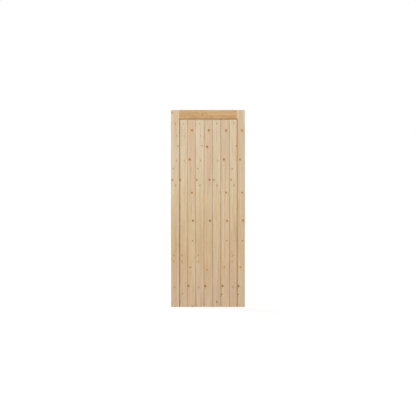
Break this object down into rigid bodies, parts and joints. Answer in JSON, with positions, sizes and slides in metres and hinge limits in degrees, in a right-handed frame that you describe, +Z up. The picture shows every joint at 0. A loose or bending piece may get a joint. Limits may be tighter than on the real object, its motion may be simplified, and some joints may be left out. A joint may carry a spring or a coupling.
{
  "type": "framed ledged and braced door",
  "caption": "Boarded timber door leaf: a rebated frame holds upright tongued and grooved boards, stiffened behind by ledges and diagonal braces. It hangs on hinges at one edge.",
  "frame": {"origin": "middle of the leaf's bottom edge, half way through its thickness", "axes": "+Z up the leaf, +X from the hinge stile to the lock stile, -Y out of the boarded front"},
  "size_m": [0.762, 0.044, 2.032],
  "materials": {
    "frame_pine": "planed, unfinished knotty pine",
    "top_rail_pine": "planed, unfinished golden pine",
    "board_pine": "planed, unfinished knotty pine",
    "ledge_pine": "planed, unfinished knotty pine",
    "wedge_pine": "sawn end grain",
    "nail_steel": "dull bright wire"
  },
  "bodies": {
    "root": {"hinge_stile": "frame_pine", "lock_stile": "frame_pine", "top_rail": "top_rail_pine", "board_1": "board_pine", "board_2": "board_pine", "board_3": "board_pine", "board_4": "board_pine", "board_5": "board_pine", "board_6": "board_pine", "board_7": "board_pine", "middle_ledge": "ledge_pine", "bottom_ledge": "ledge_pine", "upper_brace": "ledge_pine", "lower_brace": "ledge_pine", "top_rail_wedges": "wedge_pine", "middle_ledge_wedges": "wedge_pine", "bottom_ledge_wedges": "wedge_pine", "middle_ledge_nails": "nail_steel", "bottom_ledge_nails": "nail_steel", "upper_brace_nails": "nail_steel", "lower_brace_nails": "nail_steel"}
  },
  "joints": []
}
